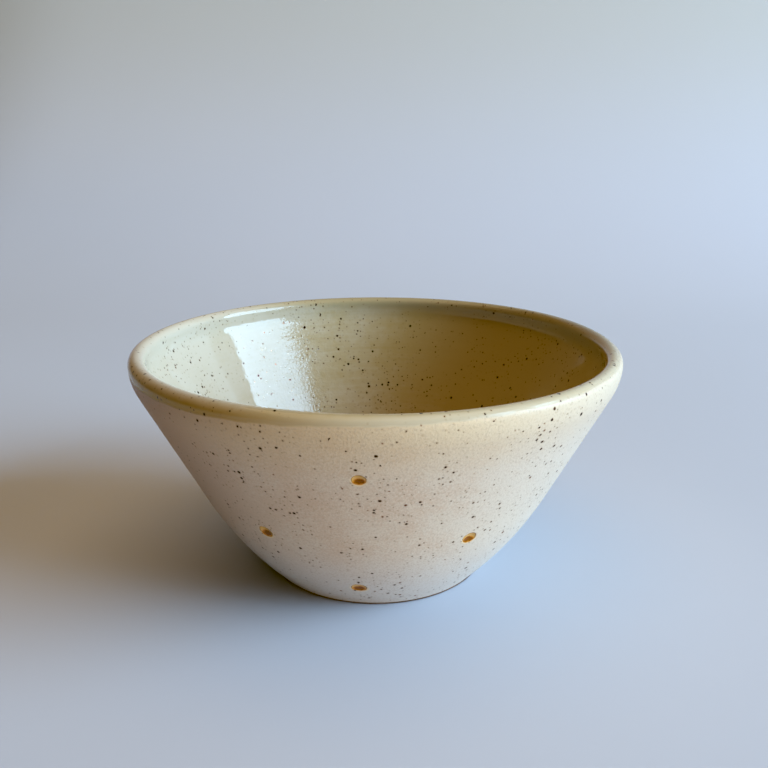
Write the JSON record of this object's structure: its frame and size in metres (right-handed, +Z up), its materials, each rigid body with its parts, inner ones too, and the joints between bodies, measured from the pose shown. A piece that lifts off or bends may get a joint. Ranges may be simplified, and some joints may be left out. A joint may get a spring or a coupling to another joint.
{
  "type": "stoneware bowl",
  "caption": "Wheel-thrown conical stoneware bowl with a rounded lip, a trimmed foot and a small diamond of glazed dimples on its front.",
  "frame": {"origin": "the middle of the foot, on the surface that the bowl stands on", "axes": "+Z up along the bowl's axis, -Y towards the front with its four dimples, +X to the right seen from the front"},
  "size_m": [0.15, 0.15, 0.0725],
  "materials": {
    "speckled_glaze": "satin off-white glaze with iron speckles, glossy inside and on the lip, amber glaze in the dimples, bare clay on the foot"
  },
  "bodies": {
    "root": {"bowl": "speckled_glaze"}
  },
  "joints": []
}
